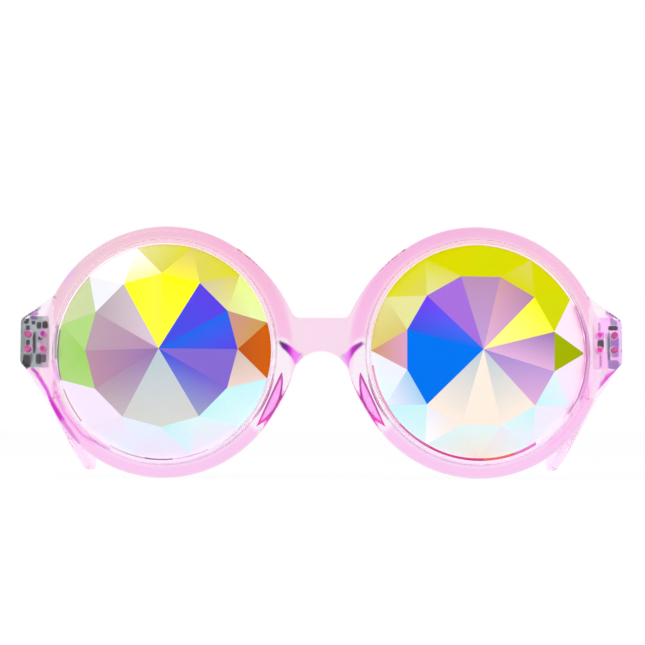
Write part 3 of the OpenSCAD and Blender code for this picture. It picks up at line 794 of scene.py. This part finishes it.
def trim_to_rims(bm):
    """Takes off what stands in front of the rims' front faces."""
    bmesh.ops.remove_doubles(bm, verts=bm.verts, dist=MERGE)
    bmesh.ops.triangulate(bm, faces=bm.faces[:])
    for side in SIDES.values():
        place = lens_place(side)
        parted = bmesh.ops.bisect_plane(
            bm, geom=bm.verts[:] + bm.edges[:] + bm.faces[:], plane_co=place @ Vector((0, 0, RIM_FRONT)),
            plane_no=place.to_3x3() @ Vector((0, 0, 1)), clear_outer=True)
        rim_edges = [part for part in parted["geom_cut"] if isinstance(part, bmesh.types.BMEdge)]
        bmesh.ops.edgeloop_fill(bm, edges=rim_edges)


def lug_outline(side):
    """An end piece, as its two slanting edges and the rounded corners between them."""
    points = []
    for angle, up in ((LUG_TOP_ANGLE, 1), (LUG_LOW_ANGLE, -1)):
        edge = LUG_EDGE_H / 2
        root = edge + (LUG_X - LUG_ROOT_X) * tan(angle)
        tangent = LUG_CORNER_R * tan((pi / 2 - angle) / 2)
        corner = arc(LUG_X - LUG_CORNER_R, edge - tangent, LUG_CORNER_R, 90 - degrees(angle), 0, steps=5)
        half = [(side * x, HINGE_UP + up * z) for x, z in [(LUG_ROOT_X, root)] + corner]
        points += half if up > 0 else list(reversed(half))
    return points


def add_lug_root(bm, side):
    """A ramp that eases the back of an end piece into the back of its rim."""
    root_ends = (-11.06 * MM, 13.67 * MM)
    far_ends = (-9.5 * MM, 12.0 * MM)
    far_x = LUG_ROOT_X - 3.2 * MM
    far_back, far_front, root_front = 4.4 * MM, 2.4 * MM, 1.4 * MM
    corners = [(LUG_ROOT_X, LUG_BACK, root_ends), (far_x, far_back, far_ends),
               (LUG_ROOT_X, root_front, root_ends), (far_x, far_front, far_ends)]
    verts = [bm.verts.new(STAND @ Vector((side * x, y, z))) for x, y, ends in corners for z in ends]
    bmesh.ops.convex_hull(bm, input=verts)


def lens_cutter(side):
    """The lens opening with rounded lips, and the groove that holds the flange."""
    flare = LENS_R + LIP_EDGE_R
    past = 9 * MM
    core = 0.2 * MM
    profile = (
        [(core, -past), (flare, -past)]
        + arc(flare, -RIM_BACK + LIP_EDGE_R, LIP_EDGE_R, 270, 180, steps=6)
        + [(LENS_R, -GROOVE_HALF), (GROOVE_R, -GROOVE_HALF), (GROOVE_R, GROOVE_HALF), (LENS_R, GROOVE_HALF)]
        + arc(flare, RIM_FRONT - LIP_EDGE_R, LIP_EDGE_R, 180, 90, steps=6)
        + [(flare, past), (core, past)]
    )
    bm = bmesh.new()
    add_revolve(bm, profile, lens_place(side), segments=240)
    return bm


def leaf_pocket_cutter(side):
    """The pocket for the front hinge leaf in an end piece's back face."""
    top = HINGE_UP + FRONT_LEAF_H / 2 + SEAT_CLEAR
    low = HINGE_UP - FRONT_LEAF_H / 2 - SEAT_CLEAR
    x0 = HINGE_X - BARREL_R - SEAT_CLEAR
    x1 = HINGE_X + FRONT_LEAF_OUT + SEAT_CLEAR
    low_cut_x, low_cut_z = 1.6 * MM, 1.1 * MM
    top_cut_x, top_cut_z = 2.2 * MM, 0.9 * MM
    outline = [
        (x0, low), (x1 - low_cut_x, low), (x1, HINGE_UP - LUG_EDGE_H / 2 + low_cut_z),
        (x1, HINGE_UP + LUG_EDGE_H / 2 - top_cut_z), (x1 - top_cut_x, top), (x0, top)
    ]
    past = 2 * MM
    bm = bmesh.new()
    add_prism(bm, [(side * x, z) for x, z in outline], LUG_BACK - LEAF_T - SEAT_CLEAR, LUG_BACK + past)
    return bm


def front_shell():
    """Rims, bridge and end pieces, blended into one moulding and cut for lenses and leaves."""
    bm = bmesh.new()
    add_prism(bm, bridge_outline(), BRIDGE_Y - BRIDGE_T / 2, BRIDGE_Y + BRIDGE_T / 2)
    trim_to_rims(bm)
    for side in SIDES.values():
        add_revolve(bm, rim_profile(), lens_place(side))
        add_prism(bm, lug_outline(side), LUG_BACK - LUG_T, LUG_BACK)
        add_lug_root(bm, side)
    shell = add_object("front_shell", bm)
    melt(shell, voxel=0.32 * MM, rounds=14)
    for side in SIDES.values():
        cut(shell, lens_cutter(side))
        cut(shell, leaf_pocket_cutter(side))
    shade(shell, sharp_deg=32)
    store_tint(shell, shell_tint)
    set_materials(shell.data, FRAME_PINK, LIP_PINK, GLOWING_WALL_PINK)
    # The lips and the walls of each lens opening take the glowing plastics: painted light round the lenses.
    lip_slot, wall_slot = 1, 2
    lip_z = RIM_FRONT - 0.5 * MM
    wall_r = LENS_R + 0.1 * MM
    for side in SIDES.values():
        back = lens_place(side).inverted()
        for face in shell.data.polygons:
            centre = back @ face.center
            r = hypot(centre.x, centre.y)
            if r < LIP_R and centre.z > lip_z:
                face.material_index = lip_slot
            elif r < wall_r and centre.z > GROOVE_HALF:
                face.material_index = wall_slot
    return shell


# Lenses

FILMS = {
    "sun": (255, 255, 0), "pale_sun": (246, 236, 60), "lime": (203, 210, 0), "acid": (209, 208, 0),
    "moss": (156, 172, 0), "citron": (213, 213, 18), "straw": (214, 206, 84), "sand": (214, 196, 106),
    "wheat": (222, 220, 145), "pale_lime": (224, 250, 170), "amber": (204, 92, 0),
    "clay": (203, 147, 100), "blush": (236, 208, 200), "rose": (217, 158, 193), "leaf": (152, 209, 92),
    "soft_leaf": (175, 215, 125), "celery": (200, 214, 160), "snow": (254, 254, 255),
    "frost": (236, 236, 250), "haze": (243, 230, 250), "ice": (226, 240, 252), "aqua": (196, 243, 245),
    "mint": (222, 246, 246), "cream": (247, 231, 216), "shell": (250, 228, 242),
    "pearl": (210, 211, 205), "stone": (211, 208, 203), "ash": (196, 182, 187),
    "mauve": (181, 155, 168), "dusk": (183, 139, 158), "plum": (145, 110, 175),
    "petal": (222, 172, 214), "lilac": (188, 150, 210), "orchid": (158, 102, 211),
    "heather": (178, 134, 174), "violet": (126, 98, 202), "indigo": (84, 58, 222),
    "grape": (112, 52, 236), "royal": (50, 76, 218), "azure": (20, 96, 228),
    "bright_blue": (0, 108, 232), "slate": (154, 158, 194), "pool": (180, 198, 208),
    "sky": (164, 206, 238), "butter": (250, 240, 150), "young_lime": (224, 246, 130),
    "linen": (206, 190, 158), "tan": (198, 152, 70), "brick": (196, 138, 134), "fawn": (202, 182, 168),
    "rust": (184, 76, 18), "fog": (181, 163, 170), "mist": (218, 196, 214), "thistle": (174, 126, 166),
    "old_rose": (200, 146, 152), "iris": (156, 132, 204),
}

# Films of each lens, counter-clockwise from the right as seen from the front. A top facet is
# given from the point to its two shoulder corners. The shoulder facets stand on the top's edges
# and reach out to one girdle corner, named in the middle. The girdle facets hang between them
# from two girdle corners to one shoulder corner. One word films a whole facet.
LENS_FILMS = {
    "left": {
        "top": ["azure indigo azure", "royal indigo indigo", "pale_sun sun sun", "pale_sun pale_sun sun",
                "mist ash fog", "heather mauve mauve", "plum dusk dusk", "plum mauve ash",
                "pool stone pearl", "pool pearl stone", "royal slate violet", "violet"],
        "shoulder": ["clay tan brick", "wheat straw linen", "pale_sun sand pale_sun", "butter snow butter",
                     "frost", "soft_leaf", "leaf soft_leaf soft_leaf", "haze", "ice haze ice",
                     "aqua ice mint", "aqua mint aqua", "blush blush fawn"],
        "girdle": ["amber amber rust", "pale_lime young_lime wheat", "citron straw straw",
                   "citron wheat straw", "snow", "celery", "soft_leaf soft_leaf leaf", "haze",
                   "haze ice haze", "haze haze ice", "haze frost mint", "mint aqua aqua"],
        "first": 0.0,
    },
    "right": {
        "top": ["butter pale_sun sun", "petal thistle old_rose", "lilac heather heather", "orchid",
                "bright_blue grape royal", "bright_blue", "bright_blue", "pool cream cream",
                "cream", "pool cream cream", "iris petal lilac", "petal petal plum"],
        "shoulder": ["lime", "acid straw acid", "acid lime acid", "straw citron wheat", "wheat",
                     "rose clay rose", "sky frost sky", "frost snow cream", "mint cream mint",
                     "mint frost aqua", "aqua ice ice", "moss"],
        "girdle": ["shell", "lime acid acid", "acid lime acid", "acid", "citron citron straw",
                   "wheat sand sand", "frost mint frost", "aqua mint aqua", "mint cream mint",
                   "cream mint frost", "frost haze frost", "haze shell haze"],
        "first": 0.5,
    },
}

# Arcs of the narrow ring round a crown, mostly low down, that paint shade and reflections of the pink
# rim along the lens edge: first and last degree, counter-clockwise from the right, and swatch
GIRDLE_LIGHT_ARCS = {
    "left": [(166, 194, (150, 150, 150)), (198, 219, (188, 176, 162)), (238, 258, (222, 204, 212)),
             (258, 274, (150, 130, 142)), (274, 294, (226, 208, 222))],
    "right": [(186, 222, (222, 160, 186)), (222, 241, (206, 104, 160)), (241, 270, (208, 62, 134)),
              (270, 288, (226, 104, 98)), (288, 301, (228, 120, 196)), (-38, 4, (250, 224, 246))],
}
# Share of a girdle facet, from its shoulder corner, that the arcs leave free
BAND_START = {"left": 0.985, "right": 0.95}


def film_tints(words):
    """Tints of a facet's three corners, from three film names or from one for all."""
    words = words.split()
    return [colour(*FILMS[word]) for word in (words * 3 if len(words) == 1 else words)]


def edge_light_tint(name, turn):
    """Tint of the painted arc of shade and reflection at a turn round a lens, counted in facets, or None
    where there is no arc.
    """
    angle = degrees(2 * pi / FACETS * turn)
    for begin, finish, swatch in GIRDLE_LIGHT_ARCS[name]:
        if (angle - begin) % 360 <= finish - begin:
            return colour(*swatch)
    return None


def lens(name, side):
    """A crystal lens: a clear flange with a flat back, and a crown of filmed facets."""
    films = LENS_FILMS[name]
    first = films["first"]
    place = lens_place(side)
    bm = bmesh.new()
    layer = bm.loops.layers.float_color.new("film")
    filmed, clear = 0, 1

    def corner(r, turn, z):
        angle = 2 * pi / FACETS * turn
        return bm.verts.new(place @ Vector((r * cos(angle), r * sin(angle), z)))

    def face(verts, tints, slot):
        made = bm.faces.new(verts)
        made.material_index = slot
        for loop, tint in zip(made.loops, tints):
            loop[layer] = tint

    steps = 12
    count = FACETS * steps
    turns = [j / steps + first + 0.5 for j in range(count)]
    # The ring by the girdle carries the painted shade and reflections of the rim
    arcs = [edge_light_tint(name, turn) for turn in turns]
    chord = GIRDLE_R * cos(pi / FACETS)
    fall = (SHOULDER_H + FLANGE_FRONT - GIRDLE_TOP) / (chord - SHOULDER_R)
    shoulder = [corner(SHOULDER_R, k + first, FLANGE_FRONT + SHOULDER_H) for k in range(FACETS)]
    girdle = []
    for j in range(count):
        reach = GIRDLE_R * cos(2 * pi / FACETS * (j % steps / steps - 0.5))
        girdle.append(corner(GIRDLE_R, turns[j], GIRDLE_TOP - fall * (reach - chord)))
    point = bm.verts.new(place @ Vector((0, 0, FLANGE_FRONT + CROWN_H)))

    share = BAND_START[name]
    bands = []
    for k in range(FACETS):
        spots = [(k * steps - steps + j) % count for j in range(steps + 1)]
        edge = [girdle[spot] for spot in spots]
        band = [bm.verts.new(shoulder[k].co.lerp(vert.co, share)) for vert in edge]
        bands.append(band)
        start, end, hub = film_tints(films["girdle"][k])
        fade = [tuple(tint) for tint in np.linspace(start, end, steps + 1)]
        for j in range(steps):
            a, b = fade[j], fade[j + 1]
            arc_here = arcs[spots[j]]
            face((shoulder[k], band[j], band[j + 1]), (hub, a, b), filmed)
            corners = (band[j], edge[j], edge[j + 1], band[j + 1])
            face(corners, (arc_here,) * 4 if arc_here else (a, a, b, b), filmed)
    for k in range(FACETS):
        after = (k + 1) % FACETS
        face((point, shoulder[k], shoulder[after]), film_tints(films["top"][k]), filmed)
        near, middle, far = film_tints(films["shoulder"][k])
        left, right = bands[k][-1], bands[after][0]
        face((shoulder[k], left, right, shoulder[after]), (near, middle, middle, far), filmed)
        face((left, girdle[k * steps], right), (arcs[k * steps] or middle,) * 3, filmed)

    chamfer = 0.2 * MM
    rings = [
        (GIRDLE_R, FLANGE_FRONT), (LENS_R, FLANGE_FRONT), (FLANGE_R - chamfer, FLANGE_FRONT),
        (FLANGE_R, FLANGE_FRONT - chamfer), (FLANGE_R, chamfer - FLANGE_FRONT),
        (FLANGE_R - chamfer, -FLANGE_FRONT)
    ]
    loops = [girdle] + [[corner(r, turn, z) for turn in turns] for r, z in rings]
    arc_rows = 2
    for row, (upper, lower) in enumerate(zip(loops, loops[1:])):
        for j in range(count):
            after = (j + 1) % count
            tint = arcs[j] if row < arc_rows else None
            corners = (upper[j], lower[j], lower[after], upper[after])
            face(corners, (tint or WHITE,) * 4, filmed if tint else clear)
    face(list(reversed(loops[-1])), (WHITE,) * count, clear)
    crystal = add_object(f"crystal_{name}", bm)
    for material in (FILM_COLOURS, CLEAR_CRYSTAL):
        crystal.data.materials.append(material)
    return crystal


# Nose pads

def nose_pad(name):
    """A nose pad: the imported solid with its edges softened."""
    pad = add_object(f"soft_pad_{name}", packed_bmesh(f"nose_pad_{name}"))
    melt(pad, voxel=0.12 * MM, rounds=6)
    shade(pad, sharp_deg=60)
    store_tint(pad, pad_tint)
    return pad


# Temples

def clamp01(v):
    """A share held between 0 and 1."""
    return min(1, max(0, v))


def mix(a, b, v):
    """Eases from a to b as a share goes from 0 to 1."""
    return a + (b - a) * (1 - cos(pi * clamp01(v))) / 2


def slope(t):
    """Angle at which the temple runs down, at a distance t from the hinge."""
    return DROOP + EAR_BEND * clamp01((t - EAR_START) / EAR_LEN)


def run(t):
    """How far back and up the middle line has come at t."""
    bend_r = EAR_LEN / EAR_BEND
    past = max(0, t - EAR_START - EAR_LEN)
    straight = min(t, EAR_START)
    back = straight * cos(DROOP) + bend_r * (sin(slope(t)) - sin(DROOP)) + past * cos(slope(t))
    up = -straight * sin(DROOP) + bend_r * (cos(slope(t)) - cos(DROOP)) - past * sin(slope(t))
    return back, up


def temple_ring(side, t, up=1, across=1):
    """One rounded-rectangle section of a temple, shrunk for its round tip."""
    body_end = TEMPLE_LEN - TIP_R
    at = min(t, body_end)
    tall = (mix(TEMPLE_H, WAIST_H, at / WAIST_AT) if at < WAIST_AT
            else mix(WAIST_H, TIP_H, (at - WAIST_AT) / (body_end - WAIST_AT)))
    thick = mix(TEMPLE_T, TIP_T, (at - CURL_START) / (body_end - CURL_START))
    half_h = tall / 2 * up
    half_t = thick / 2 * across
    r = min(TEMPLE_EDGE_R, half_t * EDGE_SHARE, half_h * EDGE_SHARE)
    tilt = slope(t) * clamp01(t / TWIST_LEN)
    back, rise = run(t)
    curl = max(0, t - CURL_START) ** 2 / (2 * CURL_R)
    ring = []
    for q in range(4):
        sx = 1 if q in (0, 3) else -1
        sz = 1 if q < 2 else -1
        for x, z in arc(sx * (half_t - r), sz * (half_h - r), r, 90 * q, 90 * q + 90, steps=6):
            ring.append(STAND @ Vector((
                side * (LUG_X - TEMPLE_T / 2 - curl) + x,
                TEMPLE_Y + back + z * sin(tilt),
                HINGE_UP + rise + z * cos(tilt))))
    return ring


def temple_pocket_cutter(side):
    """The pocket for the temple's hinge leaf and its arm in the temple's inner face."""
    end_r = TEMPLE_LEAF_H / 2 + SEAT_CLEAR
    face_x = HINGE_X + BARREL_R + SWING_GAP
    start = HINGE_Y + TEMPLE_LEAF_START - SEAT_CLEAR
    mid = HINGE_Y + TEMPLE_LEAF_START + TEMPLE_LEAF_LEN - TEMPLE_LEAF_H / 2
    outline = [(start, -end_r)] + arc(mid, 0, end_r, -90, 90, steps=24) + [(start, end_r)]
    past = 2 * MM
    ends = (face_x - past, face_x + LEAF_T + SEAT_CLEAR)
    bm = bmesh.new()
    add_loft(bm, *([STAND @ Vector((side * x, y, HINGE_UP + z)) for y, z in outline] for x in ends))
    return bm


def temple(name, side):
    """A temple: a flat band with rounded edges, an ear bend and a round tip that curls in."""
    body_end = TEMPLE_LEN - TIP_R
    body_steps, tip_steps, tip_step_deg = 110, 12, 7
    rings = [temple_ring(side, body_end * k / body_steps) for k in range(body_steps + 1)]
    for k in range(1, tip_steps + 1):
        turn = radians(tip_step_deg * k)
        rings.append(temple_ring(side, body_end + TIP_R * sin(turn), cos(turn), sqrt(cos(turn))))
    bm = bmesh.new()
    add_loft(bm, *rings)
    band = add_object(f"band_{name}", bm)
    cut(band, temple_pocket_cutter(side))
    shade(band, sharp_deg=40)
    set_materials(band.data, TEMPLE_PINK, GLOWING_ENDS[name])
    # Faces at the temple's front end take the glowing end colour: painted light in the gap behind the end
    # piece.
    cut_slot = 1
    back = STAND.inverted()
    end_y = TEMPLE_Y + 0.05 * MM
    for face in band.data.polygons:
        if (back @ face.center).y < end_y:
            face.material_index = cut_slot
    return band


# Put the object together

def dress(piece, body, slot, material, *nodes):
    """Gives a new piece one material if it has none and its body, and hides the nodes it stands for."""
    if material:
        set_materials(piece.data, material)
    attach(piece, body)
    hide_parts(*nodes)


dress(front_shell(), "front", "frame_plastic", None, "front_frame")
for word, sign in SIDES.items():
    dress(lens(word, sign), "front", f"lens_crystal_{word}", None, f"lens_{word}")
    dress(nose_pad(word), "front", "pad_plastic", PAD_MAGENTA, f"nose_pad_{word}")
    dress(temple(word, sign), f"temple_{word}_body", "temple_plastic", None, f"temple_{word}")
    dress(painted_leaf(word), "front", "hinge_steel", LEAF_STEEL[word], f"front_hinge_leaf_{word}")
    for part, metal in (("temple_hinge_leaf", HINGE_STEEL[word]), ("hinge_screw", HINGE_STEEL[word]),
                        ("front_hinge_rivets", RIVET_PINK), ("temple_hinge_rivets", RIVET_PINK)):
        set_materials(frame["nodes"][f"{part}_{word}"].data, metal)


# Stage: a white studio with a pale floor and soft lamps

def see_white(tree, plain, white, out, share=1.0):
    """Feeds an output from two shaders so that the camera, gloss and glass see the white one."""
    path = node(tree, "LightPath")
    seen = node(tree, "Math", {"operation": "MAXIMUM"})
    either = node(tree, "Math", {"operation": "MAXIMUM"})
    part = node(tree, "Math", {"operation": "MULTIPLY"})
    part.inputs[1].default_value = share
    mixed = node(tree, "MixShader")
    wire(
        tree,
        (path, "Is Camera Ray", seen, 0), (path, "Is Glossy Ray", seen, 1), (seen, "Value", either, 0),
        (path, "Is Transmission Ray", either, 1), (either, "Value", part, 0),
        (part, "Value", mixed, "Fac"), (plain, 0, mixed, 1), (white, 0, mixed, 2),
        (mixed, 0, out, "Surface"),
    )


def build_world():
    """A soft white world, plain white where the camera, gloss and glass see it."""
    world = bpy.data.worlds.new("studio")
    bpy.context.scene.world = world
    world.use_nodes = True
    tree = world.node_tree
    tree.nodes.clear()
    soft = node(tree, "Background", Color=WHITE, Strength=0.86)
    white = node(tree, "Background", Color=WHITE, Strength=1.0)
    see_white(tree, soft, white, node(tree, "OutputWorld"))


def build_floor():
    """A wide white floor that keeps a faint shadow of the glasses."""
    bm = bmesh.new()
    reach = 6.0
    turns = ((-1, -1), (1, -1), (1, 1), (-1, 1))
    bm.faces.new([bm.verts.new((reach * x, reach * y, 0)) for x, y in turns])
    floor = add_object("floor", bm)
    mat = bpy.data.materials.new("floor_white")
    mat.use_nodes = True
    tree = mat.node_tree
    tree.nodes.clear()
    paper = node(tree, "BsdfDiffuse", Color=(0.97, 0.97, 0.97, 1))
    white = node(tree, "Emission", Color=WHITE, Strength=1.0)
    see_white(tree, paper, white, node(tree, "OutputMaterial"), share=0.92)
    floor.data.materials.append(mat)


def build_lamp(name, place, power):
    """A round soft lamp, of a power in watts, that shines on the middle of the glasses."""
    aim = (0, 0, 0.03)
    data = bpy.data.lights.new(name, "AREA")
    data.shape = "DISK"
    data.size = 0.8
    data.energy = power
    lamp = bpy.data.objects.new(name, data)
    lamp.location = place
    lamp.rotation_euler = (Vector(aim) - Vector(place)).to_track_quat("-Z", "Y").to_euler()
    bpy.context.scene.collection.objects.link(lamp)


def build_camera():
    """Camera straight before the glasses, close above the floor, looking slightly up."""
    image_px = 645
    px_mm = 0.24
    distance = 0.700
    lens_row_px = 352.3
    eye_height = 12.5 * MM
    sensor = 36.0
    target = STAND @ Vector((0, 0, 0))
    off_axis = (lens_row_px - image_px / 2) * px_mm * MM
    pitch = asin((target.z + off_axis - eye_height) / distance)
    data = bpy.data.cameras.new("camera")
    data.sensor_width = sensor
    data.lens = distance / (image_px * px_mm * MM) * sensor
    camera = bpy.data.objects.new("camera", data)
    aside, roll = 0.38 * MM, radians(-0.15)
    camera.location = (aside, target.y - distance, eye_height)
    camera.rotation_euler = (pi / 2 + pitch, roll, 0)
    bpy.context.scene.collection.objects.link(camera)
    bpy.context.scene.camera = camera


build_world()
build_floor()
build_lamp("key", place=(-0.5, -0.9, 0.9), power=4.0)
build_lamp("fill", place=(0.8, -0.7, 0.5), power=2.0)
build_camera()
bpy.context.scene.view_settings.view_transform = "Standard"
